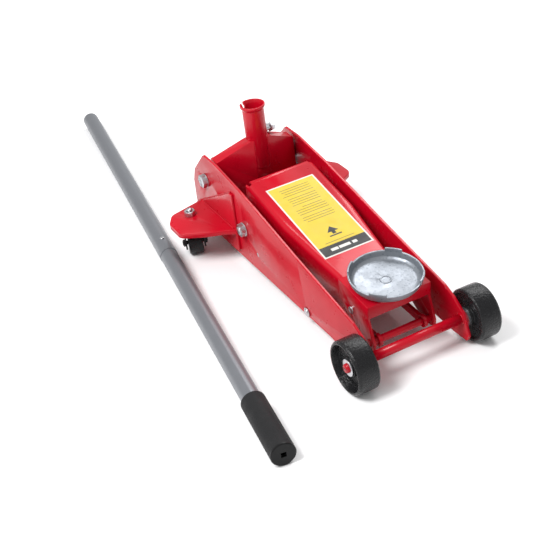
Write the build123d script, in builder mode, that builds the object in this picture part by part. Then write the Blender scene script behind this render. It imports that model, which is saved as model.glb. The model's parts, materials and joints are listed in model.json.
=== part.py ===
"""Trolley jack, lowered, with its two-piece handle taken out and lying on the floor beside it.

Everything is drawn from the jack's datum: X forward from the front axle, Y to the left from the
middle plane, Z up from the floor. Each finished piece is then shifted so that the part's origin is
the centre of its whole box, on the floor. Millimetres.
"""
from build123d import *
import os
from math import asin, atan2, cos, degrees, hypot, radians, sin, tan

# ---- fits ----
running_gap = 0.05  # radial, between a shaft and the bore it turns or slides in
face_gap = 0.3  # between faces of bodies that move past each other

# ---- chassis plates ----
plate_outer_y = 91.5
plate_thickness = 5.0
plate_inner_y = plate_outer_y - plate_thickness
plate_bottom_z = 18.0
plate_shoulder = (-45.0, 90.0)
through = 400.0  # longer than the jack is wide, for cuts that go right across it

# ---- front axle and wheels ----
wheel_radius = 47.0
wheel_width = 40.5
wheel_inner_y = plate_outer_y + 5.0
wheel_outer_y = wheel_inner_y + wheel_width
axle_z = wheel_radius
axle_bar_radius = 8.5
journal_radius = 8.0
wheel_dish_depth = 9.0
wheel_rim_wall = 6.0
hub_radius = 17.0
hub_cap_thickness = 3.0
hub_washer_radius = 15.0

# ---- cross tie near the front ----
tie_x, tie_z, tie_radius = -202.0, 26.0, 5.5
tie_ring_radius = 8.5

# ---- lift arm ----
arm_length = 326.0  # from its rear pivot to its front pin, along X
arm_front = (-99.0, 74.0)
arm_pivot = (arm_front[0] - arm_length, 88.0)
rear_x = arm_pivot[0]  # what is at the rear is placed from the arm's pivot
arm_lift = 60.0  # degrees from lowered to fully raised
arm_sheet = 4.5
arm_rear_half = plate_inner_y - 16.5
arm_front_half = 54.0
arm_taper_x = (rear_x + 125.0, -150.0)
arm_end_x = -118.0
arm_rear_x = rear_x - 20.0
arm_rear_rounding = 8.0
arm_ear_drop, arm_ear_length = 8.0, 16.0  # of the corners left by the cover's narrower rear end
cover_rear = (rear_x - 5.0, 168.6)
cover_front = (arm_end_x, 102.85)
cover_slope = atan2(cover_rear[1] - cover_front[1], cover_front[0] - cover_rear[0])
arm_nose, arm_hub_back, arm_hub_drop = 14.0, 24.0, 22.0
cover_edge_radius = 9.5
shaft_radius = 14.0
stud_radius = 8.0
stud_hexagon = 22.0  # across the flats
washer_radius = 13.5
bearing_tube_radius = 20.0
push_radius = 45.0  # from the arm's pivot to its push pin
push_angle = 35.0  # degrees behind straight down, lowered
push_pin_radius = 8.0
push_roller_radius = 11.0
push_roller_half = 15.0
lug_thickness = 8.0

# ---- saddle and its bracket ----
saddle_tilt = radians(6.2)  # front down when lowered, level when raised
saddle_x = -83.5
bracket_top_z = 111.8  # of the bracket's top face, under the saddle's centre
bracket_sheet = 4.5
bracket_outer_y = arm_front_half + 2.5 + bracket_sheet
bracket_rear, bracket_front = 50.0, 40.0  # from the saddle's axis
lip_depth = 25.0
link_front = (-48.0, 35.0)
link_pin_radius = 6.5
link_thickness = 7.0
link_y = arm_front_half - arm_sheet - 5.5
link_width = 15.0
link_eye_gap = 0.9
saddle_radius = 63.4
saddle_floor = 5.0
saddle_height = 18.5
saddle_lug_height = 5.0
saddle_stem_radius = 12.0

# ---- hydraulic unit ----
ram_radius = 13.0
ram_z = arm_pivot[1] - bearing_tube_radius - 1.0 - ram_radius
piston_radius = ram_radius + 3.0
barrel_radius = piston_radius + 3.5
reservoir_wall = 2.5
reservoir_radius = barrel_radius + 8.5
block_x = (rear_x - 201.0, rear_x - 135.0)
block_half_y = 46.0
plug_x = block_x[0] + 20.0
block_top_z = 84.0
barrel_front_x = rear_x - 65.0
ring_nut_length = 12.0
ram_head_thickness = 8.0
ram_head_gap = 1.1  # to the push roller, lowered
base_thickness = 6.0
base_x = (block_x[0] - 2.0, barrel_front_x - 2.0)

# ---- handle yoke, socket and pump ----
yoke_pivot = (rear_x - 148.0, 128.0)
yoke_swing = 60.0
yoke_half_y = plate_inner_y - 4.5
yoke_sheet = 4.0
yoke_wing_x, yoke_nose_x, yoke_back_x = rear_x - 105.0, rear_x - 74.0, rear_x - 131.0
yoke_wing_top, yoke_nose_top = 178.0, 213.0
yoke_skirt_z, yoke_nose_z = 98.0, 134.0  # its lower edge, at the wings and at the nose
yoke_flange = 24.0  # depth of the top, folded back from the front
yoke_nose_half = 15.0
lower_tube_radius = 17.25
socket_bore = lower_tube_radius + 0.75
socket_radius = socket_bore + 2.5
socket_rim_radius = socket_radius + 2.9
socket_x = yoke_nose_x - yoke_sheet + 8.5 - socket_radius
socket_bottom_z, socket_bore_z, socket_top_z = 156.0, 172.0, 279.0
clamp_z = 218.0
web_plate_z = socket_bottom_z
pump_arm = 24.0  # from the yoke's pivot to the pump roller
pump_arm_angle = 30.0  # above the rearward horizontal at rest
pump_roller_radius = 8.0
pump_roller_half = 8.0
plunger_x = yoke_pivot[0] - 22.0
plunger_radius = 8.0
gland_height = 7.0
plunger_gap = 0.5

# ---- casters ----
caster_x, caster_y = rear_x - 137.0, plate_outer_y + 48.5
wing_outer_y = plate_outer_y + 95.5
wing_thickness = 4.5
wing_skirt = 10.0
web_thickness = 4.5
caster_wheel_radius = 24.0
caster_wheel_half = 14.0
caster_trail = 15.0
caster_heading = -18.0
caster_stud_radius = 6.0
caster_leg = 3.0
caster_axle_radius = 4.0

# ---- handle on the floor ----
handle_far = (-1225.0, -plate_outer_y - 10.0)
handle_near = (92.5, -plate_outer_y - 209.5)
lower_tube_length = 695.0
upper_tube_radius = lower_tube_radius - 0.75
tube_wall = 2.0
neck_length = 60.0
grip_radius = upper_tube_radius + 4.5
grip_length = 140.5
grip_cap = 4.0
grip_chamfer = 3.0
button_back = 41.0  # from the joint of the two tubes
button_radius = 4.0
button_travel = 3.0

# ---- values that follow ----
fork_top = 2 * caster_wheel_radius + 7.5
race_height = 4.0
wing_top_z = fork_top + 18.5
sides = {"left": 1, "right": -1}
handle_run = hypot(handle_near[0] - handle_far[0], handle_near[1] - handle_far[1])
handle_turn = atan2(handle_near[1] - handle_far[1], handle_near[0] - handle_far[0])
handle_rise = asin((grip_radius - lower_tube_radius) / (handle_run - grip_length + grip_chamfer))
handle_length = handle_run / cos(handle_rise)
pieces = {}


def across(y):
    """The plane at this y whose own axes are X and Z; extruding from it goes towards -Y."""
    return Plane.XZ.offset(-y)


def finish(piece, node):
    """Label a finished piece and keep it until the whole box is known."""
    piece.part.label = node
    pieces[node] = piece


def rod_across(x, z, radius, y_low, y_high):
    """Add a round rod along Y to the part being built."""
    with BuildSketch(across(y_high)) as end:
        with Locations((x, z)):
            Circle(radius)
    extrude(end.sketch, amount=y_high - y_low)


def hex_across(x, z, flats, y_low, y_high):
    """Add a hexagon prism along Y to the part being built."""
    with BuildSketch(across(y_high)) as end:
        with Locations((x, z)):
            RegularPolygon(flats / 2, 6, major_radius=False)
    extrude(end.sketch, amount=y_high - y_low)


def hole_across(x, z, radius, y_low, y_high):
    """Cut a round hole along Y through the part being built."""
    with BuildSketch(across(y_high)) as end:
        with Locations((x, z)):
            Circle(radius)
    extrude(end.sketch, amount=y_high - y_low, mode=Mode.SUBTRACT)


def disc(plane, radius, height, bore=0.0):
    """Add a disc on a plane, with an optional bore, to the part being built."""
    with BuildSketch(plane) as end:
        Circle(radius)
        if bore:
            Circle(bore, mode=Mode.SUBTRACT)
    extrude(end.sketch, amount=height)


def level(x, y, z):
    """A horizontal plane through a point."""
    return Plane((x, y, z))


def turned(point, centre, angle):
    """A point in the XZ plane turned nose-up about a centre by an angle in degrees."""
    a = radians(angle)
    dx, dz = point[0] - centre[0], point[1] - centre[1]
    return (centre[0] + dx * cos(a) - dz * sin(a), centre[1] + dx * sin(a) + dz * cos(a))


def three_point_centre(p, q, r):
    """The centre of the circle through three points."""
    ax, az, bx, bz = q[0] - p[0], q[1] - p[1], r[0] - p[0], r[1] - p[1]
    d = 2 * (ax * bz - az * bx)
    a2, b2 = ax * ax + az * az, bx * bx + bz * bz
    return (p[0] + (bz * a2 - az * b2) / d, p[1] + (ax * b2 - bx * a2) / d)


def link_end(share):
    """Where the bracket's lower pin is when the arm is at this share of its lift."""
    front = turned(arm_front, arm_pivot, share * arm_lift)
    lower = turned(link_front, arm_front, share * degrees(saddle_tilt))
    return (front[0] + lower[0] - arm_front[0], front[1] + lower[1] - arm_front[1])


# The links keep the saddle bracket level: their anchor is the centre of the arc that the
# bracket's lower pin makes.
link_anchor = three_point_centre(link_end(0), link_end(0.5), link_end(1))
push_pin = (arm_pivot[0] - push_radius * sin(radians(push_angle)),
            arm_pivot[1] - push_radius * cos(radians(push_angle)))
ram_head_x = push_pin[0] - push_roller_radius - ram_head_gap
pump_roller = (yoke_pivot[0] - pump_arm * cos(radians(pump_arm_angle)),
               yoke_pivot[1] + pump_arm * sin(radians(pump_arm_angle)))
plunger_top_z = pump_roller[1] - pump_roller_radius - plunger_gap
base_top_z = plate_bottom_z + 1 + base_thickness
bracket_plane = Plane((saddle_x, 0, bracket_top_z), x_dir=(cos(saddle_tilt), 0, -sin(saddle_tilt)),
                      z_dir=(sin(saddle_tilt), 0, cos(saddle_tilt)))

os.makedirs("parts", exist_ok=True)


# ======== chassis ========
def cover_z(x):
    """Height of the lift arm's top face at this x."""
    return cover_rear[1] - (x - cover_rear[0]) * tan(cover_slope)


def side_plate(side):
    """One flame-cut side plate, rounded at its rear peak, its front end and its corners."""
    outer = plate_outer_y if side > 0 else -plate_inner_y
    with BuildPart() as plate:
        with BuildSketch(across(outer)):
            with BuildLine():
                FilletPolyline((rear_x - 209, plate_bottom_z), (rear_x - 215, 60), (rear_x - 212, 103),
                               (rear_x - 199, 132), (rear_x - 146, 182), (rear_x - 95, 181.5),
                               (rear_x + 7, 166.5), (-220, 124.5), plate_shoulder, (-18, axle_z + 31),
                               (6, axle_z + 13), (21, axle_z - 25), (15, axle_z - 37),
                               (-22, axle_z - 38), (-126, plate_bottom_z), radius=5, close=True)
            make_face()
            with Locations((0, axle_z)):
                Circle(journal_radius + running_gap, mode=Mode.SUBTRACT)
            with Locations((tie_x, tie_z)):
                Circle(tie_radius + running_gap, mode=Mode.SUBTRACT)
            with Locations(arm_pivot, yoke_pivot):
                Circle(stud_radius + running_gap, mode=Mode.SUBTRACT)
            with Locations(link_anchor):
                Circle(link_pin_radius - 2 + running_gap, mode=Mode.SUBTRACT)
        extrude(amount=plate_thickness)
    return plate


def caster_bracket(side):
    """A pressed bracket: a web on the side plate and a wing with a turned-down skirt."""
    root = side * (plate_outer_y + web_thickness)
    with BuildPart() as bracket:
        with BuildSketch(across(max(side * plate_outer_y, root))):
            with BuildLine():
                FilletPolyline((rear_x - 209, wing_top_z - 32), (rear_x - 209, wing_top_z - 18),
                               (rear_x - 37, 149), (rear_x - 27, 149), (rear_x - 27, 30),
                               (rear_x - 45, 26), (rear_x - 155, 34), radius=3, close=True)
            make_face()
        extrude(amount=web_thickness)
        wing = Plane((0, 0, wing_top_z - wing_skirt))
        with BuildSketch(wing) as outline:
            with BuildLine():
                FilletPolyline((rear_x - 180, side * plate_outer_y), (rear_x - 159, side * (wing_outer_y - 17)),
                               (rear_x - 131, side * wing_outer_y), (rear_x - 83, side * wing_outer_y),
                               (rear_x - 57, side * (wing_outer_y - 40)),
                               (rear_x - 41, side * (plate_outer_y + 21)),
                               (rear_x - 27, side * plate_outer_y), radius=(20, 20, 18, 30, 20))
                Line((rear_x - 27, side * plate_outer_y), (rear_x - 180, side * plate_outer_y))
            make_face()
        extrude(amount=wing_skirt)
        with BuildSketch(wing):
            add(outline.sketch)
            offset(amount=-web_thickness, mode=Mode.REPLACE)
        extrude(amount=wing_skirt - wing_thickness, mode=Mode.SUBTRACT)
        with BuildSketch(wing):
            with Locations((caster_x, side * caster_y)):
                Circle(caster_stud_radius + running_gap)
        extrude(amount=wing_skirt, mode=Mode.SUBTRACT)
    return bracket


def caster(side):
    """Fork, wheel and axle of one swivel caster, each as its own piece."""
    x, y = caster_x, side * caster_y
    heading = Plane((x, y, 0), x_dir=(cos(radians(caster_heading)), sin(radians(caster_heading)), 0),
                    z_dir=(0, 0, 1))
    upright = Plane(heading.origin, x_dir=heading.x_dir, z_dir=-heading.y_dir)
    leg_half = caster_wheel_half + 2.5 + caster_leg
    with BuildPart() as fork:
        with BuildSketch(upright):
            with BuildLine():
                FilletPolyline((-17, fork_top), (-17, fork_top - 10), (caster_trail - 10, 12),
                               (caster_trail + 10, 12), (24, fork_top - 10), (24, fork_top),
                               radius=4)
                Line((24, fork_top), (-17, fork_top))
            make_face()
        extrude(amount=leg_half, both=True)
        with BuildSketch(upright):
            with Locations((0, fork_top / 2 - caster_leg)):
                Rectangle(90, fork_top)
        extrude(amount=leg_half - caster_leg, both=True, mode=Mode.SUBTRACT)
        with BuildSketch(upright):
            with Locations((caster_trail, caster_wheel_radius)):
                Circle(caster_axle_radius + running_gap)
        extrude(amount=leg_half + 1, both=True, mode=Mode.SUBTRACT)
        with BuildSketch(heading):
            Circle(caster_stud_radius + running_gap)
        extrude(amount=fork_top + 1, mode=Mode.SUBTRACT)
    with BuildPart() as wheel:
        with BuildSketch(upright):
            with Locations((caster_trail, caster_wheel_radius)):
                Circle(caster_wheel_radius)
        extrude(amount=caster_wheel_half, both=True)
        fillet(wheel.edges().filter_by(GeomType.CIRCLE), 3.5)
        with BuildSketch(upright):
            with Locations((caster_trail, caster_wheel_radius)):
                Circle(caster_axle_radius + running_gap)
        extrude(amount=30, both=True, mode=Mode.SUBTRACT)
    with BuildPart() as axle:
        with BuildSketch(upright):
            with Locations((caster_trail, caster_wheel_radius)):
                Circle(caster_axle_radius)
        extrude(amount=leg_half + 5, both=True)
        for end in (1, -1):
            with BuildSketch(upright.offset(end * leg_half)):
                with Locations((caster_trail, caster_wheel_radius)):
                    RegularPolygon(6, 6, major_radius=False)
            extrude(amount=end * 4)
    return fork, wheel, axle


for word, side in sides.items():
    finish(side_plate(side), f"side_plate_{word}")
    finish(caster_bracket(side), f"caster_bracket_{word}")
    fork, wheel, axle = caster(side)
    finish(fork, f"caster_fork_{word}")
    finish(wheel, f"caster_wheel_{word}")
    finish(axle, f"caster_axle_{word}")

with BuildPart() as caster_studs:
    for side in sides.values():
        under = fork_top - caster_leg - face_gap
        disc(level(caster_x, side * caster_y, under - 2.7), 9.0, 2.7)
        disc(level(caster_x, side * caster_y, under), caster_stud_radius, wing_top_z + 14 - under)
finish(caster_studs, "caster_studs")

with BuildPart() as caster_races:
    for side in sides.values():
        race = level(caster_x, side * caster_y, fork_top + face_gap)
        disc(race, 16.0, race_height, caster_stud_radius + running_gap)
        disc(race.offset(race_height), 20.0, 4.0, caster_stud_radius + running_gap)
        neck = wing_top_z - wing_thickness - fork_top - face_gap - race_height - 4
        disc(race.offset(race_height + 4), 12.0, neck, caster_stud_radius + running_gap)
finish(caster_races, "caster_races")

with BuildPart() as caster_nuts:
    for side in sides.values():
        with BuildSketch(level(caster_x, side * caster_y, wing_top_z)):
            RegularPolygon(9.5, 6, major_radius=False)
            Circle(caster_stud_radius + running_gap, mode=Mode.SUBTRACT)
        extrude(amount=10)
finish(caster_nuts, "caster_nuts")

with BuildPart() as front_axle:
    rod_across(0, axle_z, axle_bar_radius, -plate_inner_y, plate_inner_y)
    axle_end_y = wheel_outer_y - wheel_dish_depth + hub_cap_thickness + 5
    rod_across(0, axle_z, journal_radius, -axle_end_y, axle_end_y)
    chamfer(front_axle.edges().filter_by(GeomType.CIRCLE).sort_by(Axis.Y)[0], 1.5)
    chamfer(front_axle.edges().filter_by(GeomType.CIRCLE).sort_by(Axis.Y)[-1], 1.5)
finish(front_axle, "front_axle")

with BuildPart() as axle_washers:
    for side in sides.values():
        rim = side * (wheel_inner_y - face_gap)
        rod_across(0, axle_z, 17, min(rim, side * plate_outer_y), max(rim, side * plate_outer_y))
    hole_across(0, axle_z, journal_radius + running_gap, -through, through)
finish(axle_washers, "axle_washers")

hub_face_y = wheel_outer_y - wheel_dish_depth
with BuildPart() as hub_caps:
    for side in sides.values():
        low = side * (hub_face_y + face_gap)
        high = side * (hub_face_y + face_gap + hub_cap_thickness)
        rod_across(0, axle_z, hub_washer_radius, min(low, high), max(low, high))
    hole_across(0, axle_z, journal_radius + running_gap, -through, through)
finish(hub_caps, "hub_caps")

for word, side in sides.items():
    with BuildPart() as front_wheel:
        bore = journal_radius + running_gap
        section = [(wheel_inner_y, bore), (wheel_inner_y, hub_radius), (wheel_inner_y + 6, hub_radius),
                   (wheel_inner_y + 6, wheel_radius - 9), (wheel_inner_y + 1, wheel_radius - 6),
                   (wheel_inner_y + 1, wheel_radius - 3), (wheel_inner_y + 4, wheel_radius),
                   (wheel_outer_y - 4, wheel_radius), (wheel_outer_y, wheel_radius - 3),
                   (wheel_outer_y, wheel_radius - wheel_rim_wall),
                   (hub_face_y - 5, wheel_radius - wheel_rim_wall - 3), (hub_face_y - 5, hub_radius),
                   (hub_face_y, hub_radius), (hub_face_y, bore)]
        with BuildSketch(Plane.YZ):
            with BuildLine():
                Polyline(*[(side * y, axle_z + r) for y, r in section], close=True)
            make_face()
        revolve(axis=Axis((0, 0, axle_z), (0, 1, 0)))
    finish(front_wheel, f"front_wheel_{word}")

with BuildPart() as cross_tie:
    rod_across(tie_x, tie_z, tie_radius, -plate_outer_y - 4, plate_outer_y + 4)
    for side in sides.values():
        low, high = sorted((side * plate_outer_y, side * (plate_outer_y + 2.5)))
        rod_across(tie_x, tie_z, tie_ring_radius, low, high)
finish(cross_tie, "cross_tie")

with BuildPart() as arm_shaft:
    rod_across(*arm_pivot, shaft_radius, -plate_inner_y, plate_inner_y)
    rod_across(*arm_pivot, stud_radius, -plate_outer_y - 12, plate_outer_y + 12)
finish(arm_shaft, "arm_pivot_shaft")

with BuildPart() as arm_nuts:
    for side in sides.values():
        low, high = sorted((side * plate_outer_y, side * (plate_outer_y + 2)))
        rod_across(*arm_pivot, washer_radius, low, high)
        low, high = sorted((side * (plate_outer_y + 2), side * (plate_outer_y + 10)))
        hex_across(*arm_pivot, stud_hexagon, low, high)
    hole_across(*arm_pivot, stud_radius + running_gap, -through, through)
finish(arm_nuts, "arm_pivot_nuts")

with BuildPart() as arm_spacers:
    for side in sides.values():
        low, high = sorted((side * (arm_rear_half + face_gap), side * plate_inner_y))
        rod_across(*arm_pivot, 19, low, high)
    hole_across(*arm_pivot, shaft_radius + running_gap, -through, through)
finish(arm_spacers, "arm_spacers")

with BuildPart() as link_anchor_pins:
    for side in sides.values():
        inner = link_y - link_thickness / 2 - 3
        low, high = sorted((side * inner, side * plate_inner_y))
        rod_across(*link_anchor, link_pin_radius, low, high)
        low, high = sorted((side * (plate_inner_y - 1), side * (plate_outer_y - 0.5)))
        rod_across(*link_anchor, link_pin_radius - 2, low, high)
finish(link_anchor_pins, "link_anchor_pins")

# ======== hydraulic unit ========
with BuildPart() as base_plate:
    with BuildSketch(level((base_x[0] + base_x[1]) / 2, 0, base_top_z - base_thickness)):
        Rectangle(base_x[1] - base_x[0], 2 * plate_inner_y)
    extrude(amount=base_thickness)
    with BuildSketch(Plane.XY):
        with Locations(((block_x[0] + block_x[1]) / 2, 0)):
            with GridLocations(42, 56, 2, 2):
                Circle(4 + running_gap)
    extrude(amount=60, mode=Mode.SUBTRACT)
finish(base_plate, "base_plate")

with BuildPart() as pump_block:
    with BuildSketch(level((block_x[0] + block_x[1]) / 2, 0, base_top_z)):
        RectangleRounded(block_x[1] - block_x[0], 2 * block_half_y, 6)
    extrude(amount=block_top_z - base_top_z)
    with BuildSketch(level(plunger_x, 0, block_top_z)):
        RegularPolygon(11, 6, major_radius=False)
    extrude(amount=gland_height)
    with BuildSketch(level(plunger_x, 0, 40)):
        Circle(plunger_radius + running_gap)
    extrude(amount=100, mode=Mode.SUBTRACT)
    with BuildSketch(level(yoke_pivot[0], 0, 66)):
        Circle(5 + running_gap)
    extrude(amount=100, mode=Mode.SUBTRACT)
    with BuildSketch(Plane.XY):
        with Locations(((block_x[0] + block_x[1]) / 2, 0)):
            with GridLocations(42, 56, 2, 2):
                Circle(4 + running_gap)
    extrude(amount=base_top_z + 14, mode=Mode.SUBTRACT)
    with BuildSketch(level(plug_x, 28, block_top_z - 10)):
        Circle(6)
    extrude(amount=20, mode=Mode.SUBTRACT)
    with BuildSketch(level(plug_x, -28, block_top_z - 10)):
        Circle(6)
    extrude(amount=20, mode=Mode.SUBTRACT)
finish(pump_block, "pump_block")

with BuildPart() as block_bolts:
    with BuildSketch(level((block_x[0] + block_x[1]) / 2, 0, base_top_z - base_thickness - 5)):
        with GridLocations(42, 56, 2, 2):
            RegularPolygon(6.5, 6, major_radius=False)
    extrude(amount=5)
    with BuildSketch(level((block_x[0] + block_x[1]) / 2, 0, base_top_z - base_thickness)):
        with GridLocations(42, 56, 2, 2):
            Circle(4)
    extrude(amount=18)
finish(block_bolts, "block_bolts")

ram_line = Plane((0, 0, ram_z), x_dir=(0, 1, 0), z_dir=(1, 0, 0))
with BuildPart() as reservoir:
    disc(ram_line.offset(block_x[1]), reservoir_radius, barrel_front_x - block_x[1],
         reservoir_radius - reservoir_wall)
finish(reservoir, "reservoir_tube")

with BuildPart() as barrel:
    disc(ram_line.offset(block_x[1]), barrel_radius, barrel_front_x - block_x[1],
         piston_radius + running_gap)
finish(barrel, "cylinder_barrel")

with BuildPart() as ring_nut:
    disc(ram_line.offset(barrel_front_x), reservoir_radius + 2, ring_nut_length, ram_radius + running_gap)
    chamfer(ring_nut.edges().filter_by(GeomType.CIRCLE).sort_by(Axis.X)[-1], 2)
finish(ring_nut, "cylinder_ring_nut")

with BuildPart() as ram:
    disc(ram_line.offset(block_x[1] + 1), piston_radius, 10)
    disc(ram_line.offset(block_x[1] + 11), ram_radius,
         ram_head_x - ram_head_thickness - block_x[1] - 11)
finish(ram, "ram")

with BuildPart() as ram_head:
    with BuildSketch(ram_line.offset(ram_head_x - ram_head_thickness)):
        with Locations((0, -5)):
            RectangleRounded(2 * push_roller_half, 30, 4)
    extrude(amount=ram_head_thickness)
finish(ram_head, "ram_head")

with BuildPart() as block_plugs:
    disc(level(plug_x, 28, block_top_z - 8), 6 - running_gap, 8)
    disc(level(plug_x, 28, block_top_z), 8.5, 4)
    disc(level(plug_x, -28, block_top_z - 8), 6 - running_gap, 8)
    with BuildSketch(level(plug_x, -28, block_top_z)):
        RegularPolygon(8, 6, major_radius=False)
    extrude(amount=6)
finish(block_plugs, "block_plugs")

with BuildPart() as plunger:
    disc(level(plunger_x, 0, 66), plunger_radius, plunger_top_z - 4 - 66)
    disc(level(plunger_x, 0, plunger_top_z - 4), 11, 4)
finish(plunger, "pump_plunger")


def coil(start, direction, mean_radius, wire_radius, length, turns):
    """Add a coil spring from a point along a direction to the part being built."""
    path = Helix(length / turns, length, mean_radius, center=start, direction=direction, mode=Mode.PRIVATE)
    with BuildSketch(Plane(origin=path @ 0, z_dir=path % 0)) as wire:
        Circle(wire_radius)
    sweep(wire.sketch, path=path, is_frenet=True)


gland_top = block_top_z + gland_height
with BuildPart() as plunger_spring:
    coil((plunger_x, 0, gland_top + 1.3), (0, 0, 1), 9.6, 1.0, plunger_top_z - 4 - gland_top - 2.6, 4)
finish(plunger_spring, "plunger_spring")

spring_y = 41.0
with BuildPart() as return_springs:
    for side in sides.values():
        coil((block_x[1] + 1.5, side * spring_y, push_pin[1]), (1, 0, 0), 6.0, 1.2,
             push_pin[0] - push_pin_radius - block_x[1] - 3.0, 12)
finish(return_springs, "return_springs")

with BuildPart() as valve_stem:
    disc(level(yoke_pivot[0], 0, 68), 5, yoke_pivot[1] - 12 - 68)
    disc(level(yoke_pivot[0], 0, yoke_pivot[1] - 14), 8, 6)
    with BuildSketch(across(2.5)):
        with Locations((yoke_pivot[0], yoke_pivot[1] - 4)):
            Rectangle(10, 8)
    extrude(amount=5)
finish(valve_stem, "release_valve_stem")

# ======== lift arm ========
def arm_side(inset, drop):
    """Side outline of the arm; with a drop it is the open channel's inside instead."""
    low = arm_pivot[1] - arm_hub_drop - drop
    top_rear_x = arm_rear_x if not drop else arm_rear_x - 160
    top_front_x = arm_end_x if not drop else 0
    nose_x = arm_front[0] + arm_nose + drop
    nose_top = arm_front[1] + 12 if not drop else cover_z(0) - inset
    hub_x = rear_x - arm_hub_back
    return [(top_rear_x, cover_z(top_rear_x) - inset), (top_front_x, cover_z(top_front_x) - inset),
            (nose_x, nose_top), (nose_x, arm_front[1] - 16 - drop), (-200, 58 - drop),
            (link_anchor[0] + 5, 70 - drop), (arm_pivot[0], low), (hub_x, low + (0 if drop else 10)),
            (top_rear_x if drop else hub_x, arm_pivot[1] - drop)]


def arm_plan(inset):
    """Plan outline of the arm: parallel at the rear, tapering to its nose."""
    rear, front = arm_rear_half - inset, arm_front_half - inset
    left = [(arm_rear_x - 200, rear), (arm_taper_x[0], rear), (arm_taper_x[1], front), (100, front)]
    return left + [(x, -y) for x, y in reversed(left)]


def long_top_edges(solid, half, inset):
    """The edges along a solid's top face, on both sides of it."""
    return [edge for edge in solid.edges().filter_by(GeomType.LINE)
            if abs(edge.center().Y) > half and edge.length > 20
            and abs(edge.center().Z - cover_z(edge.center().X) + inset) < 0.01]


with BuildPart() as arm_hollow:
    with BuildSketch(Plane.XZ):
        with BuildLine():
            Polyline(*arm_side(arm_sheet, 120), close=True)
        make_face()
    extrude(amount=150, both=True)
    with BuildSketch(Plane.XY.offset(-200)):
        with BuildLine():
            Polyline(*arm_plan(arm_sheet), close=True)
        make_face()
    extrude(amount=500, mode=Mode.INTERSECT)
    fillet(long_top_edges(arm_hollow, arm_front_half - 12, arm_sheet), cover_edge_radius - arm_sheet)

with BuildPart() as lift_arm:
    with BuildSketch(Plane.XZ):
        with BuildLine():
            Polyline(*arm_side(0, 0), close=True)
        make_face()
    extrude(amount=150, both=True)
    with BuildSketch(Plane.XY):
        with BuildLine():
            Polyline(*arm_plan(0), close=True)
        make_face()
    extrude(amount=300, mode=Mode.INTERSECT)
    fillet(long_top_edges(lift_arm, arm_front_half - 6, 0), cover_edge_radius)
    rear_edge = [edge for edge in lift_arm.edges().filter_by(Axis.Y)
                 if abs(edge.center().X - arm_rear_x) < 0.1][0]
    fillet(rear_edge, arm_rear_rounding)
    add(arm_hollow.part, mode=Mode.SUBTRACT)
    hole_across(*arm_pivot, shaft_radius + running_gap, -through, through)
    hole_across(*arm_front, link_pin_radius + running_gap, -through, through)
    ear_x = arm_rear_x + arm_ear_length / 2 - 10
    for side in sides.values():
        with BuildSketch(level(ear_x, side * arm_rear_half, cover_z(arm_rear_x) - arm_ear_drop)):
            RectangleRounded(arm_ear_length + 20, 2 * cover_edge_radius, 3)
        extrude(amount=40, mode=Mode.SUBTRACT)
finish(lift_arm, "lift_arm")

with BuildPart() as push_lugs:
    inner = arm_rear_half - arm_sheet
    rod_across(*arm_pivot, bearing_tube_radius, -inner, inner)
    for side in sides.values():
        low, high = sorted((side * (push_roller_half + 1), side * (push_roller_half + 1 + lug_thickness)))
        with BuildSketch(across(high)):
            with Locations(arm_pivot):
                Circle(bearing_tube_radius + 7)
            with Locations(push_pin):
                Circle(push_pin_radius + 6)
            make_hull()
            with Locations(push_pin):
                Circle(push_pin_radius, mode=Mode.SUBTRACT)
        extrude(amount=high - low)
    hole_across(*arm_pivot, shaft_radius + running_gap, -through, through)
finish(push_lugs, "push_lugs")

with BuildPart() as push_pin_part:
    rod_across(*push_pin, push_pin_radius, -spring_y - 8, spring_y + 8)
    rod_across(*push_pin, push_roller_radius, -push_roller_half, push_roller_half)
finish(push_pin_part, "push_pin")

label_x = (rear_x + 24.0, -195.5)
label_half = 49.0
label_middle = sum(label_x) / 2
label_plane = Plane((label_middle, 0, cover_z(label_middle)),
                    x_dir=(cos(cover_slope), 0, -sin(cover_slope)),
                    z_dir=(sin(cover_slope), 0, cos(cover_slope)))
with BuildPart() as label:
    with BuildSketch(label_plane):
        Rectangle((label_x[1] - label_x[0]) / cos(cover_slope), 2 * label_half)
    extrude(amount=0.4)
finish(label, "rating_label")

with BuildPart() as arm_front_pin:
    rod_across(*arm_front, link_pin_radius, -bracket_outer_y - 2, bracket_outer_y + 2)
finish(arm_front_pin, "arm_front_pin")

# ======== saddle bracket, links and saddle ========
with BuildPart() as bracket:
    with BuildSketch(Plane(bracket_plane.origin, x_dir=bracket_plane.x_dir, z_dir=(0, -1, 0))):
        with BuildLine():
            Polyline((-bracket_rear, 0), (bracket_front, 0), (bracket_front, -lip_depth),
                     (bracket_front - 1, -lip_depth), (bracket_front + 18, -68), (bracket_front + 17, -79),
                     (bracket_front + 8, -86), (bracket_front - 19, -86), (-28, -62), (-bracket_rear, -34),
                     close=True)
        make_face()
    extrude(amount=bracket_outer_y, both=True)
    with BuildSketch(Plane(bracket_plane.origin, x_dir=bracket_plane.x_dir, z_dir=(0, -1, 0))):
        with BuildLine():
            Polyline((-bracket_rear - 20, -bracket_sheet), (bracket_front - bracket_sheet, -bracket_sheet),
                     (bracket_front - bracket_sheet, -lip_depth), (90, -lip_depth), (90, -150),
                     (-bracket_rear - 20, -150), close=True)
        make_face()
    extrude(amount=bracket_outer_y - bracket_sheet, both=True, mode=Mode.SUBTRACT)
    hole_across(*arm_front, link_pin_radius + running_gap, -through, through)
    hole_across(*link_front, link_pin_radius + running_gap, -through, through)
    with BuildSketch(bracket_plane.offset(-20)):
        Circle(saddle_stem_radius + running_gap)
    extrude(amount=40, mode=Mode.SUBTRACT)
finish(bracket, "saddle_bracket")

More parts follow.
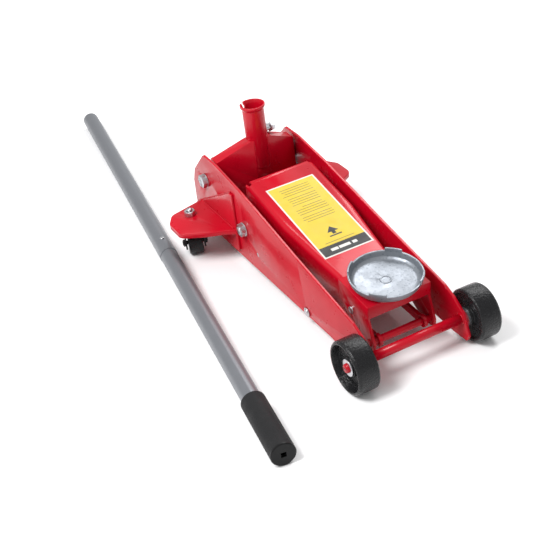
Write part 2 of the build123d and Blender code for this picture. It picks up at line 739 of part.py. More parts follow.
with BuildPart() as link_pin:
    rod_across(*link_front, link_pin_radius, -bracket_outer_y - 2, bracket_outer_y + 2)
finish(link_pin, "bracket_link_pin")

link_run = (link_front[0] - link_anchor[0], link_front[1] - link_anchor[1])
for word, side in sides.items():
    with BuildPart() as link:
        low, high = sorted((side * (link_y - link_thickness / 2), side * (link_y + link_thickness / 2)))
        with BuildSketch(across(high)):
            for end in (link_front, link_anchor):
                with Locations(end):
                    Circle(link_width / 2 + 4)
            with Locations(((link_front[0] + link_anchor[0]) / 2, (link_front[1] + link_anchor[1]) / 2)):
                Rectangle(hypot(*link_run), link_width, rotation=degrees(atan2(link_run[1], link_run[0])))
            with Locations(link_anchor):
                Circle(link_pin_radius + running_gap, mode=Mode.SUBTRACT)
            with Locations(link_front):
                Circle(link_pin_radius + link_eye_gap, mode=Mode.SUBTRACT)
        extrude(amount=high - low)
    finish(link, f"link_rod_{word}")

with BuildPart() as saddle:
    with BuildSketch(Plane(bracket_plane.origin, x_dir=bracket_plane.x_dir, z_dir=(0, -1, 0))):
        with BuildLine():
            Polyline((0, face_gap), (50, face_gap), (57, 4), (60.5, 9), (saddle_radius, saddle_height),
                     (saddle_radius - 3, saddle_height), (57.5, 9), (54, 6), (50, saddle_floor),
                     (0, saddle_floor), close=True)
        make_face()
    saddle_axis = Axis(bracket_plane.origin, bracket_plane.z_dir)
    revolve(axis=saddle_axis)
    with BuildSketch(bracket_plane.offset(saddle_height)):
        Rectangle(3 * saddle_radius, 0.46 * saddle_radius, rotation=45)
        Rectangle(0.46 * saddle_radius, 3 * saddle_radius, rotation=45)
        Circle(saddle_radius, mode=Mode.INTERSECT)
        Circle(saddle_radius - 3, mode=Mode.SUBTRACT)
    extrude(amount=saddle_lug_height)
    with BuildSketch(bracket_plane.offset(saddle_floor)):
        Circle(10)
        Circle(8, mode=Mode.SUBTRACT)
    extrude(amount=1)
finish(saddle, "saddle")

with BuildPart() as saddle_stem:
    disc(bracket_plane.offset(face_gap), saddle_stem_radius, -18)
    disc(bracket_plane.offset(-bracket_sheet - face_gap), saddle_stem_radius + 5, -3)
finish(saddle_stem, "saddle_stem")

# ======== handle yoke, socket and pump drive ========
def yoke_plan(inset, rear_x):
    """Plan outline of the yoke's hood: a blunt wedge, open at its rear."""
    wing_x, nose_x = yoke_wing_x - inset, yoke_nose_x - inset
    wing_y, nose_y = yoke_half_y - inset, yoke_nose_half - inset / 4
    return [(rear_x, wing_y), (wing_x, wing_y), (nose_x, nose_y),
            (nose_x, -nose_y), (wing_x, -wing_y), (rear_x, -wing_y)]


def yoke_front(inset, low):
    """The hood seen from the front: rising from the wings to the socket."""
    return [(-yoke_half_y, low), (-yoke_half_y, yoke_wing_top - inset), (-20, yoke_nose_top - inset),
            (20, yoke_nose_top - inset), (yoke_half_y, yoke_wing_top - inset), (yoke_half_y, low)]


def hood(inset, rear_x, low):
    """The hood's outer solid, or the space inside it when inset is its sheet's thickness."""
    with BuildPart() as body:
        with BuildSketch(Plane.XY.offset(low)):
            with BuildLine():
                Polyline(*yoke_plan(inset, rear_x), close=True)
            make_face()
        extrude(amount=yoke_nose_top - low)
        with BuildSketch(Plane((yoke_back_x - 150, 0, 0), x_dir=(0, 1, 0), z_dir=(1, 0, 0))):
            with BuildLine():
                Polyline(*yoke_front(inset, low), close=True)
            make_face()
        extrude(amount=400, mode=Mode.INTERSECT)
    return body.part


with BuildPart() as yoke:
    add(hood(0, yoke_back_x, yoke_skirt_z))
    add(hood(yoke_sheet, yoke_back_x - 150, yoke_skirt_z - 10), mode=Mode.SUBTRACT)
    with BuildSketch(level(0, 0, web_plate_z)):
        with BuildLine():
            side_y, back = yoke_half_y - yoke_sheet, yoke_back_x - 150
            Polyline((back, side_y), (yoke_wing_x - yoke_flange, side_y),
                     (yoke_nose_x - yoke_flange, yoke_nose_half), (yoke_nose_x - yoke_flange, -yoke_nose_half),
                     (yoke_wing_x - yoke_flange, -side_y), (back, -side_y), close=True)
        make_face()
    extrude(amount=100, mode=Mode.SUBTRACT)
    with BuildSketch(Plane((yoke_back_x, 0, 0), x_dir=(0, 1, 0), z_dir=(1, 0, 0))):
        with BuildLine():
            Polyline((-yoke_nose_half - 29, yoke_skirt_z - 1), (-yoke_nose_half - 1, yoke_nose_z),
                     (yoke_nose_half + 1, yoke_nose_z), (yoke_nose_half + 29, yoke_skirt_z - 1), close=True)
        make_face()
    extrude(amount=100, mode=Mode.SUBTRACT)
    for side in sides.values():
        low, high = sorted((side * (yoke_half_y - yoke_sheet), side * yoke_half_y))
        with BuildSketch(across(high)):
            with BuildLine():
                FilletPolyline((yoke_wing_x, yoke_skirt_z), (yoke_wing_x, yoke_wing_top),
                               (yoke_wing_x - 16, yoke_wing_top), (yoke_back_x - 4, yoke_wing_top - 14),
                               (yoke_pivot[0] - 18, yoke_pivot[1] + 16),
                               (yoke_pivot[0] - 18, yoke_pivot[1] - 14),
                               (yoke_pivot[0] + 16, yoke_pivot[1] - 14), (yoke_wing_x - 14, yoke_skirt_z),
                               radius=2.5, close=True)
            make_face()
        extrude(amount=high - low)
    web_rear = pump_roller[0] - 8
    with BuildSketch(level(0, 0, web_plate_z - yoke_sheet)):
        with BuildLine():
            Polyline((web_rear, 16), (yoke_back_x - 6, 16), *yoke_plan(yoke_sheet, yoke_back_x - 6),
                     (yoke_back_x - 6, -16), (web_rear, -16), close=True)
        make_face()
    extrude(amount=yoke_sheet)
    for side in sides.values():
        low, high = sorted((side * 12.0, side * 16.0))
        with BuildSketch(across(high)):
            with Locations((pump_roller[0], web_plate_z - yoke_sheet - 7)):
                Rectangle(14, 14.5)
            with Locations(pump_roller):
                Circle(7)
        extrude(amount=high - low)
    hole_across(*pump_roller, 4, -20, 20)
    with BuildSketch(level(socket_x, 0, web_plate_z)):
        Circle(socket_radius)
    extrude(amount=100, mode=Mode.SUBTRACT)
    with BuildSketch(level(socket_x, 0, 100)):
        Circle(7 + running_gap)
    extrude(amount=100, mode=Mode.SUBTRACT)
    hole_across(*yoke_pivot, stud_radius + running_gap, -through, through)
finish(yoke, "handle_yoke")

with BuildPart() as socket:
    with BuildSketch(Plane.XZ):
        with BuildLine():
            section = [(socket_bore + 0.8, socket_bore_z), (socket_bore + 0.8, socket_bottom_z),
                       (socket_radius, socket_bottom_z),
                       (socket_radius, socket_top_z - 9), (socket_rim_radius, socket_top_z - 4),
                       (socket_rim_radius, socket_top_z), (socket_rim_radius - 2.5, socket_top_z),
                       (socket_bore, socket_top_z - 7), (socket_bore, socket_bore_z)]
            Polyline(*[(socket_x + r, z) for r, z in section], close=True)
        make_face()
    revolve(axis=Axis((socket_x, 0, 0), (0, 0, 1)))
    notch_plane = Plane((socket_x, 0, socket_top_z - 11), x_dir=(cos(radians(215)), sin(radians(215)), 0),
                        z_dir=(0, 0, 1))
    with BuildSketch(notch_plane):
        with Locations((socket_radius, 0)):
            Rectangle(20, 8)
    extrude(amount=20, mode=Mode.SUBTRACT)
    clamp_turn = radians(105)
    clamp_plane = Plane((socket_x, 0, clamp_z), x_dir=(0, 0, 1), z_dir=(cos(clamp_turn), sin(clamp_turn), 0))
    with BuildSketch(clamp_plane):
        Circle(5 + running_gap)
    extrude(amount=40, mode=Mode.SUBTRACT)
finish(socket, "handle_socket")

with BuildPart() as clamp_screw:
    disc(clamp_plane.offset(socket_bore + 0.5), 5, 14)
    with BuildSketch(clamp_plane.offset(socket_bore + 14.5)):
        RegularPolygon(8, 6, major_radius=False)
    extrude(amount=10)
finish(clamp_screw, "handle_clamp_screw")

with BuildPart() as pump_roller_part:
    rod_across(*pump_roller, pump_roller_radius, -pump_roller_half, pump_roller_half)
    rod_across(*pump_roller, 4, -18, 18)
finish(pump_roller_part, "pump_roller")

with BuildPart() as yoke_bolts:
    for side in sides.values():
        low, high = sorted((side * (yoke_half_y - yoke_sheet - 3), side * (plate_outer_y + 2)))
        rod_across(*yoke_pivot, stud_radius, low, high)
        low, high = sorted((side * (yoke_half_y + face_gap), side * plate_inner_y))
        rod_across(*yoke_pivot, 13, low, high)
        low, high = sorted((side * plate_outer_y, side * (plate_outer_y + 2.5)))
        rod_across(*yoke_pivot, washer_radius, low, high)
        low, high = sorted((side * (plate_outer_y + 2.5), side * (plate_outer_y + 11)))
        hex_across(*yoke_pivot, stud_hexagon + 1, low, high)
finish(yoke_bolts, "yoke_pivot_bolts")

with BuildPart() as release_driver:
    disc(level(socket_x, 0, web_plate_z + face_gap), socket_bore - 0.5, 14)
    disc(level(socket_x, 0, web_plate_z - yoke_sheet - 5), 7, 5 + yoke_sheet + face_gap)
    with BuildSketch(level(socket_x, 0, web_plate_z + 7)):
        Rectangle(60, 7)
    extrude(amount=20, mode=Mode.SUBTRACT)
finish(release_driver, "release_driver")

link_from = Vector(socket_x - 6.75, 0, web_plate_z - yoke_sheet - 7.1)
link_to = Vector(yoke_pivot[0] + 6, 0, yoke_pivot[1] + 3)
release_axis = (link_from - link_to).normalized()
with BuildPart() as release_link:
    disc(Plane(link_to, x_dir=(0, 1, 0), z_dir=release_axis), 3.5, (link_from - link_to).length)
finish(release_link, "release_link")

# ======== handle ========
along_floor = Vector(cos(handle_turn), sin(handle_turn), 0)
handle_axis = along_floor * cos(handle_rise) + Vector(0, 0, sin(handle_rise))
handle_up = Vector(0, 0, cos(handle_rise)) - along_floor * sin(handle_rise)
handle_plane = Plane((*handle_far, lower_tube_radius), x_dir=handle_up, z_dir=handle_axis)
button_at = lower_tube_length - button_back
button_plane = Plane(handle_plane.origin + handle_axis * button_at, x_dir=handle_axis, z_dir=handle_up)

with BuildPart() as lower_tube:
    disc(handle_plane, lower_tube_radius, lower_tube_length, lower_tube_radius - tube_wall)
    with BuildSketch(button_plane):
        Circle(button_radius + 2 * running_gap)
    extrude(amount=30, mode=Mode.SUBTRACT)
finish(lower_tube, "handle_lower_tube")

neck_radius = lower_tube_radius - tube_wall - running_gap
with BuildPart() as upper_tube:
    disc(handle_plane.offset(lower_tube_length), upper_tube_radius,
         handle_length - grip_cap - lower_tube_length, upper_tube_radius - tube_wall)
    disc(handle_plane.offset(lower_tube_length - neck_length), neck_radius,
         neck_length + 4, neck_radius - tube_wall)
    with BuildSketch(button_plane):
        Circle(button_radius + running_gap)
    extrude(amount=30, mode=Mode.SUBTRACT)
finish(upper_tube, "handle_upper_tube")

with BuildPart() as button:
    disc(button_plane.offset(neck_radius - 6), button_radius, lower_tube_radius + 2.5 - neck_radius + 6)
    fillet(button.edges().filter_by(GeomType.CIRCLE).sort_by(Axis.Z)[-1], 1.5)
finish(button, "spring_button")

with BuildPart() as button_spring:
    spring_low = -neck_radius + tube_wall + 0.2
    disc(button_plane.offset(spring_low), 2.5, neck_radius - 6 - spring_low)
finish(button_spring, "button_spring")

with BuildPart() as grip:
    disc(handle_plane.offset(handle_length - grip_length), grip_radius, grip_length - grip_cap,
         upper_tube_radius)
    chamfer(grip.edges().filter_by(GeomType.CIRCLE).group_by(Axis.X)[0].sort_by(SortBy.RADIUS)[-1],
            grip_chamfer)
finish(grip, "handle_grip")

with BuildPart() as end_cap:
    disc(handle_plane.offset(handle_length - grip_cap), grip_radius, grip_cap)
    with BuildSketch(handle_plane.offset(handle_length - grip_cap)):
        Rectangle(9, 9)
    extrude(amount=grip_cap, mode=Mode.SUBTRACT)
    chamfer(end_cap.edges().filter_by(GeomType.CIRCLE).sort_by(Axis.X)[-1], 1.5)
finish(end_cap, "grip_end_cap")

# ======== the part's origin, then the files ========
boxes = [piece.part.bounding_box() for piece in pieces.values()]
origin_x = (min(box.min.X for box in boxes) + max(box.max.X for box in boxes)) / 2
origin_y = (min(box.min.Y for box in boxes) + max(box.max.Y for box in boxes)) / 2
print("origin of the part in the jack's datum", round(origin_x, 4), round(origin_y, 4))
for node, piece in pieces.items():
    piece.part = piece.part.moved(Location((-origin_x, -origin_y, 0)))
    piece.part.label = node
    export_step(piece.part, f"parts/{node}.step")
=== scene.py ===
"""Looks of a trolley jack and its handle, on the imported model's own frame. Metres, +Z up."""
import json
import math
import random

import bmesh
import bpy
from mathutils import Matrix, Vector


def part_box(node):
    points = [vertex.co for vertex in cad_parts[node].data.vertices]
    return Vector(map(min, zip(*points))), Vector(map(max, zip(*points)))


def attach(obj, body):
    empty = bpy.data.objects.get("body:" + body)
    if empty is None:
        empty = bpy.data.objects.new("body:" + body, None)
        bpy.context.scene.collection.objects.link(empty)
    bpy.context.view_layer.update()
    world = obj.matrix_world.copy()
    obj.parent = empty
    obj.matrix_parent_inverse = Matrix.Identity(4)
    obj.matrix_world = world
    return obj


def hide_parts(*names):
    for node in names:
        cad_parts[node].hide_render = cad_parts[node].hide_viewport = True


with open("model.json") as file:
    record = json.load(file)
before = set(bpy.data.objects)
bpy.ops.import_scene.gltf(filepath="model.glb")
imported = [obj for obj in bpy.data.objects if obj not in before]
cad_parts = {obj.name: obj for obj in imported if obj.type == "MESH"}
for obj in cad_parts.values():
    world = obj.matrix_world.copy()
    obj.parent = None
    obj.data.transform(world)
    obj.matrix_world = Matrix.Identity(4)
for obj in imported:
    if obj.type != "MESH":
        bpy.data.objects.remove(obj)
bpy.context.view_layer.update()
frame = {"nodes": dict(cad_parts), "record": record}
nodes = frame["nodes"]

MM = 0.001


# ======== places, read from the frame ========
def centre_of(node):
    """Middle of a node's box."""
    low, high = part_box(node)
    return (Vector(low) + Vector(high)) / 2


axle_middle = centre_of("front_axle")
datum = Vector((axle_middle.x, axle_middle.y, 0))


def at(x, y, z):
    """A point given in millimetres from the jack's datum: under the front axle, on the floor."""
    return datum + Vector((x, y, z)) * MM


# ======== shader node groups ========
def new_group(name, inputs, outputs):
    """A shader group with named float or vector sockets."""
    tree = bpy.data.node_groups.new(name, "ShaderNodeTree")
    for label, kind, default in inputs:
        socket = tree.interface.new_socket(label, in_out="INPUT", socket_type=kind)
        if default is not None:
            socket.default_value = default
    for label, kind in outputs:
        tree.interface.new_socket(label, in_out="OUTPUT", socket_type=kind)
    return tree, tree.nodes.new("NodeGroupInput"), tree.nodes.new("NodeGroupOutput")


FLOAT, COLOUR, VECTOR = "NodeSocketFloat", "NodeSocketColor", "NodeSocketVector"


def add_node(tree, kind, links=(), **settings):
    """Add a node, set its properties, and feed its inputs from sockets or values."""
    made = tree.nodes.new(kind)
    for name, value in settings.items():
        setattr(made, name, value)
    for name, value in dict(links).items():
        if isinstance(value, bpy.types.NodeSocket):
            tree.links.new(value, made.inputs[name])
        else:
            made.inputs[name].default_value = value
    return made


def object_coordinates(tree):
    """Coordinates in the object's own metres."""
    return tree.nodes.new("ShaderNodeTexCoord").outputs["Object"]


def build_mottle():
    """Soft cloudy variation between two levels."""
    tree, given, result = new_group(
        "mottle", [("Scale", FLOAT, 20.0), ("Low", FLOAT, 0.0), ("High", FLOAT, 1.0)], [("Value", FLOAT)])
    cloud = add_node(tree, "ShaderNodeTexNoise", {
        "Vector": object_coordinates(tree), "Scale": given.outputs["Scale"], "Detail": 4.0, "Roughness": 0.6})
    spread = add_node(tree, "ShaderNodeMapRange", {
        "Value": cloud.outputs["Fac"], "From Min": 0.3, "From Max": 0.7,
        "To Min": given.outputs["Low"], "To Max": given.outputs["High"]})
    tree.links.new(spread.outputs["Result"], result.inputs["Value"])
    return tree


def build_orange_peel():
    """Height of a sprayed coat: fine ripples over slow waves of the sheet under it."""
    tree, given, result = new_group(
        "orange_peel", [("Ripple", FLOAT, 420.0), ("Wave", FLOAT, 14.0), ("Share", FLOAT, 0.3)],
        [("Height", FLOAT)])
    where = object_coordinates(tree)
    ripple = add_node(tree, "ShaderNodeTexNoise", {
        "Vector": where, "Scale": given.outputs["Ripple"], "Detail": 1.0})
    wave = add_node(tree, "ShaderNodeTexNoise", {
        "Vector": where, "Scale": given.outputs["Wave"], "Detail": 2.0})
    fine = add_node(tree, "ShaderNodeMath", {0: ripple.outputs["Fac"], 1: given.outputs["Share"]},
                    operation="MULTIPLY")
    both = add_node(tree, "ShaderNodeMath", {0: fine.outputs[0], 1: wave.outputs["Fac"]}, operation="ADD")
    tree.links.new(both.outputs[0], result.inputs["Height"])
    return tree


def build_cast_skin():
    """Height and pits of a sand casting."""
    tree, given, result = new_group("cast_skin", [("Grain", FLOAT, 900.0), ("Lumps", FLOAT, 120.0)],
                                    [("Height", FLOAT), ("Pits", FLOAT)])
    where = object_coordinates(tree)
    grain = add_node(tree, "ShaderNodeTexNoise", {
        "Vector": where, "Scale": given.outputs["Grain"], "Detail": 3.0})
    lumps = add_node(tree, "ShaderNodeTexVoronoi", {"Vector": where, "Scale": given.outputs["Lumps"]})
    total = add_node(tree, "ShaderNodeMath", {0: grain.outputs["Fac"], 1: lumps.outputs["Distance"]},
                     operation="ADD")
    pits = add_node(tree, "ShaderNodeMapRange", {
        "Value": lumps.outputs["Distance"], "From Min": 0.05, "From Max": 0.35})
    tree.links.new(total.outputs[0], result.inputs["Height"])
    tree.links.new(pits.outputs["Result"], result.inputs["Pits"])
    return tree


def build_drawn_lines():
    """Fine lines along one direction, as left by drawing, grinding or turning."""
    tree, given, result = new_group(
        "drawn_lines", [("Stretch", VECTOR, (1.0, 1.0, 1.0)), ("Scale", FLOAT, 60.0)], [("Value", FLOAT)])
    squeezed = add_node(tree, "ShaderNodeVectorMath",
                        {0: object_coordinates(tree), 1: given.outputs["Stretch"]}, operation="MULTIPLY")
    lines = add_node(tree, "ShaderNodeTexNoise", {
        "Vector": squeezed.outputs[0], "Scale": given.outputs["Scale"], "Detail": 5.0, "Roughness": 0.7})
    tree.links.new(lines.outputs["Fac"], result.inputs["Value"])
    return tree


MOTTLE = build_mottle()
ORANGE_PEEL = build_orange_peel()
CAST_SKIN = build_cast_skin()
DRAWN_LINES = build_drawn_lines()


# ======== materials ========
def start_material(name, **shader_values):
    """A material with its Principled shader's constant values set on their own sockets."""
    made = bpy.data.materials.new(name)
    made.use_nodes = True
    shader = made.node_tree.nodes["Principled BSDF"]
    for label, value in shader_values.items():
        shader.inputs[label.replace("_", " ")].default_value = value
    return made, made.node_tree, shader


def use_group(tree, group, **values):
    """Place a shader group with its own values."""
    placed = tree.nodes.new("ShaderNodeGroup")
    placed.node_tree = group
    for label, value in values.items():
        placed.inputs[label].default_value = value
    return placed


def rgb(red, green, blue):
    """A colour with full alpha."""
    return (red, green, blue, 1.0)


def blend_colours(tree, factor, low, high):
    """Mix of two colours or colour sockets by a mask."""
    mixed = tree.nodes.new("ShaderNodeMix")
    mixed.data_type = "RGBA"
    tree.links.new(factor, mixed.inputs[0])
    for index, value in ((6, low), (7, high)):
        if isinstance(value, bpy.types.NodeSocket):
            tree.links.new(value, mixed.inputs[index])
        else:
            mixed.inputs[index].default_value = value
    return mixed.outputs[2]


def raise_surface(tree, shader, height, distance, strength=1.0):
    """Feed a height into the shader's normal through a Bump node."""
    bump = add_node(tree, "ShaderNodeBump", {"Height": height, "Distance": distance, "Strength": strength})
    tree.links.new(bump.outputs["Normal"], shader.inputs["Normal"])


def red_gloss_paint():
    """Bright red gloss over pressed steel, a little darker in patches."""
    made, tree, shader = start_material("red_gloss_paint", Metallic=0.0, Coat_Weight=0.15,
                                        Coat_Roughness=0.06, Specular_IOR_Level=0.22)
    tone = use_group(tree, MOTTLE, Scale=9.0, Low=0.0, High=1.0)
    deep, bright = rgb(0.42, 0.0010, 0.011), rgb(0.50, 0.0015, 0.015)
    tree.links.new(blend_colours(tree, tone.outputs["Value"], deep, bright), shader.inputs["Base Color"])
    shine = use_group(tree, MOTTLE, Scale=35.0, Low=0.26, High=0.34)
    tree.links.new(shine.outputs["Value"], shader.inputs["Roughness"])
    skin = use_group(tree, ORANGE_PEEL, Ripple=520.0, Wave=16.0, Share=0.1)
    raise_surface(tree, shader, skin.outputs["Height"], 0.0005, 0.35)
    return made


def black_cast_paint():
    """Black paint over a rough casting, as on the wheels."""
    made, tree, shader = start_material("black_cast_paint", Metallic=0.0, Specular_IOR_Level=0.25)
    skin = use_group(tree, CAST_SKIN, Grain=1100.0, Lumps=260.0)
    pit, top = rgb(0.003, 0.003, 0.0035), rgb(0.010, 0.010, 0.011)
    tree.links.new(blend_colours(tree, skin.outputs["Pits"], pit, top), shader.inputs["Base Color"])
    shine = use_group(tree, MOTTLE, Scale=420.0, Low=0.12, High=0.34)
    tree.links.new(shine.outputs["Value"], shader.inputs["Roughness"])
    raise_surface(tree, shader, skin.outputs["Height"], 0.0005, 0.75)
    return made


def steel(name, low, high, rough, lines, scale):
    """Bare or plated steel with lines along one direction."""
    made, tree, shader = start_material(name, Metallic=1.0)
    mark = use_group(tree, DRAWN_LINES, Stretch=lines, Scale=scale)
    tree.links.new(blend_colours(tree, mark.outputs["Value"], low, high), shader.inputs["Base Color"])
    shine = use_group(tree, MOTTLE, Scale=80.0, Low=rough[0], High=rough[1])
    tree.links.new(shine.outputs["Value"], shader.inputs["Roughness"])
    raise_surface(tree, shader, mark.outputs["Value"], 0.0001, 0.3)
    return made


def cast_grey(name, dark, light, rough, metallic):
    """A grey casting with its sand grain showing."""
    made, tree, shader = start_material(name, Metallic=metallic)
    skin = use_group(tree, CAST_SKIN, Grain=700.0, Lumps=170.0)
    tree.links.new(blend_colours(tree, skin.outputs["Pits"], dark, light), shader.inputs["Base Color"])
    shine = use_group(tree, MOTTLE, Scale=45.0, Low=rough[0], High=rough[1])
    tree.links.new(shine.outputs["Value"], shader.inputs["Roughness"])
    raise_surface(tree, shader, skin.outputs["Height"], 0.0004, 0.5)
    return made


def handle_coat():
    """Metallic grey powder coat on the handle tubes."""
    made, tree, shader = start_material("handle_coat", Metallic=0.55, Specular_IOR_Level=0.5)
    fleck = use_group(tree, DRAWN_LINES, Stretch=(1.0, 1.0, 1.0), Scale=1500.0)
    tree.links.new(blend_colours(tree, fleck.outputs["Value"], rgb(0.12, 0.125, 0.14), rgb(0.26, 0.27, 0.29)),
                   shader.inputs["Base Color"])
    shine = use_group(tree, MOTTLE, Scale=18.0, Low=0.36, High=0.46)
    tree.links.new(shine.outputs["Value"], shader.inputs["Roughness"])
    skin = use_group(tree, ORANGE_PEEL, Ripple=900.0, Wave=30.0, Share=0.6)
    raise_surface(tree, shader, skin.outputs["Height"], 0.0002, 0.4)
    return made


def grip_foam():
    """Matt black foam rubber of the grip."""
    made, tree, shader = start_material("grip_foam", Metallic=0.0, Specular_IOR_Level=0.2)
    skin = use_group(tree, CAST_SKIN, Grain=1800.0, Lumps=700.0)
    pit, top = rgb(0.004, 0.004, 0.0045), rgb(0.012, 0.012, 0.013)
    tree.links.new(blend_colours(tree, skin.outputs["Pits"], pit, top), shader.inputs["Base Color"])
    shine = use_group(tree, MOTTLE, Scale=30.0, Low=0.55, High=0.75)
    tree.links.new(shine.outputs["Value"], shader.inputs["Roughness"])
    raise_surface(tree, shader, skin.outputs["Height"], 0.0003, 0.6)
    return made


def moulded_plastic(name, colour, rough):
    """Plain moulded or printed plastic with a fine grain."""
    made, tree, shader = start_material(name, Metallic=0.0, Specular_IOR_Level=0.2)
    tone = use_group(tree, MOTTLE, Scale=40.0, Low=0.0, High=1.0)
    darker = rgb(*[c * 0.9 for c in colour[:3]])
    tree.links.new(blend_colours(tree, tone.outputs["Value"], darker, colour), shader.inputs["Base Color"])
    shine = use_group(tree, MOTTLE, Scale=70.0, Low=rough[0], High=rough[1])
    tree.links.new(shine.outputs["Value"], shader.inputs["Roughness"])
    skin = use_group(tree, ORANGE_PEEL, Ripple=1400.0, Wave=40.0, Share=0.5)
    raise_surface(tree, shader, skin.outputs["Height"], 0.0001, 0.3)
    return made


red_paint = red_gloss_paint()
black_iron = black_cast_paint()
bright_zinc = steel("bright_zinc", rgb(0.42, 0.43, 0.45), rgb(0.66, 0.67, 0.69),
                    (0.24, 0.4), (1.0, 1.0, 1.0), 260.0)
turned_steel = steel("turned_steel", rgb(0.25, 0.25, 0.26), rgb(0.46, 0.46, 0.47),
                     (0.28, 0.42), (6.0, 1.0, 1.0), 300.0)
hard_chrome = steel("hard_chrome", rgb(0.62, 0.63, 0.65), rgb(0.76, 0.77, 0.79),
                    (0.06, 0.14), (0.2, 1.0, 1.0), 200.0)
spring_wire = steel("spring_wire", rgb(0.10, 0.10, 0.11), rgb(0.24, 0.24, 0.25),
                    (0.3, 0.45), (1.0, 1.0, 1.0), 300.0)
block_iron = cast_grey("block_iron", rgb(0.07, 0.07, 0.075), rgb(0.15, 0.15, 0.155), (0.45, 0.62), 0.5)
saddle_iron = cast_grey("saddle_iron", rgb(0.15, 0.165, 0.19), rgb(0.24, 0.26, 0.29), (0.3, 0.48), 0.6)
handle_grey = handle_coat()
grip_rubber = grip_foam()
cap_plastic = moulded_plastic("cap_plastic", rgb(0.007, 0.007, 0.0075), (0.35, 0.5))
label_yellow = moulded_plastic("label_yellow", rgb(0.58, 0.42, 0.004), (0.28, 0.38))
label_white = moulded_plastic("label_white", rgb(0.62, 0.60, 0.56), (0.28, 0.38))
label_black = moulded_plastic("label_black", rgb(0.004, 0.004, 0.005), (0.3, 0.4))
label_ochre = moulded_plastic("label_ochre", rgb(0.16, 0.12, 0.01), (0.3, 0.4))

finish_of_slot = {
    "red_paint": red_paint,
    "black_iron": black_iron,
    "zinc_steel": bright_zinc,
    "machined_steel": turned_steel,
    "chromed_ram": hard_chrome,
    "cast_block": block_iron,
    "saddle_grey": saddle_iron,
    "spring_steel": spring_wire,
    "handle_paint": handle_grey,
    "grip_rubber": grip_rubber,
    "cap_plastic": cap_plastic,
    "label_film": label_yellow,
}
slot_of = {entry["node"]: entry["material_slot"] for entry in frame["record"]["subparts"]}
body_of_node = {node: body for body, members in frame["record"]["behaviour"]["bodies"].items()
                for node in members}


# ======== pieces made from the frame's own solids ========
def place(name, mesh, node, finish=None):
    """Turn a mesh into a piece that rides with a node's body and takes its finish."""
    piece = bpy.data.objects.new(name, mesh)
    bpy.context.scene.collection.objects.link(piece)
    if finish is not None:
        mesh.materials.clear()
        mesh.materials.append(finish)
    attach(piece, body_of_node[node])
    return piece


def softened(node, radius, segments=2, angle=28.0):
    """The node's solid with its edges rounded, as rolled, pressed or cast metal has them."""
    mesh = nodes[node].data.copy()
    mesh.name = node + "_soft"
    work = bmesh.new()
    work.from_mesh(mesh)
    bmesh.ops.remove_doubles(work, verts=work.verts, dist=1e-6)
    bmesh.ops.dissolve_limit(work, angle_limit=math.radians(0.6), verts=work.verts, edges=work.edges)
    work.to_mesh(mesh)
    work.free()
    mesh.shade_smooth()
    piece = place(node + "_soft", mesh, node, finish_of_slot[slot_of[node]])
    rounding = piece.modifiers.new("rounding", "BEVEL")
    rounding.width = radius
    rounding.segments = segments
    rounding.limit_method = "ANGLE"
    rounding.angle_limit = math.radians(angle)
    rounding.harden_normals = True
    rounding.miter_outer = "MITER_ARC"
    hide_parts(node)
    return piece


edge_radius = {
    "side_plate_left": 1.0, "side_plate_right": 1.0, "caster_bracket_left": 1.4, "caster_bracket_right": 1.4,
    "lift_arm": 1.2, "saddle_bracket": 1.5, "handle_yoke": 1.6, "handle_socket": 1.0, "saddle": 1.2,
    "front_wheel_left": 1.2, "front_wheel_right": 1.2, "caster_wheel_left": 0.6, "caster_wheel_right": 0.6,
    "caster_fork_left": 0.8, "caster_fork_right": 0.8, "base_plate": 0.8, "pump_block": 1.5,
    "link_rod_left": 0.8, "link_rod_right": 0.8, "yoke_pivot_bolts": 0.7, "arm_pivot_nuts": 0.7,
    "caster_nuts": 0.7, "handle_clamp_screw": 0.8, "cross_tie": 0.9, "hub_caps": 0.5, "block_bolts": 0.6,
    "bracket_link_pin": 0.7, "arm_front_pin": 0.7, "push_lugs": 0.8,
}
for node, solid in nodes.items():
    if node in edge_radius:
        softened(node, edge_radius[node] * MM)
    else:
        for held in solid.material_slots:
            held.link = "OBJECT"
            held.material = finish_of_slot[slot_of[node]]


# ======== small solids ========
def frame_of(axis):
    """Two directions square to an axis."""
    axis = axis.normalized()
    side = axis.cross(Vector((0, 0, 1)))
    if side.length < 0.1:
        side = axis.cross(Vector((0, 1, 0)))
    side.normalize()
    return side, axis.cross(side)


def tube_mesh(name, path, radii, steps=12, closed=False):
    """A round tube along points, with a radius at each."""
    rings = []
    count = len(path)
    for index, point in enumerate(path):
        before = path[(index - 1) % count] if closed or index else point
        after = path[(index + 1) % count] if closed or index < count - 1 else point
        side, up = frame_of(after - before)
        rings.append([point + (side * math.cos(turn) + up * math.sin(turn)) * radii[index]
                      for turn in (math.tau * k / steps for k in range(steps))])
    faces = []
    for index in range(count if closed else count - 1):
        a, b = index * steps, ((index + 1) % count) * steps
        faces += [(a + k, a + (k + 1) % steps, b + (k + 1) % steps, b + k) for k in range(steps)]
    if not closed:
        faces += [tuple(range(steps - 1, -1, -1)), tuple(range((count - 1) * steps, count * steps))]
    mesh = bpy.data.meshes.new(name)
    mesh.from_pydata([tuple(p) for ring in rings for p in ring], [], faces)
    mesh.shade_smooth()
    return mesh


def prism_mesh(name, outline, rise):
    """A flat outline of points thickened along a vector."""
    count = len(outline)
    mesh = bpy.data.meshes.new(name)
    faces = [tuple(range(count - 1, -1, -1)), tuple(range(count, 2 * count))]
    faces += [(k, (k + 1) % count, count + (k + 1) % count, count + k) for k in range(count)]
    mesh.from_pydata([tuple(p) for p in outline] + [tuple(p + rise) for p in outline], [], faces)
    return mesh


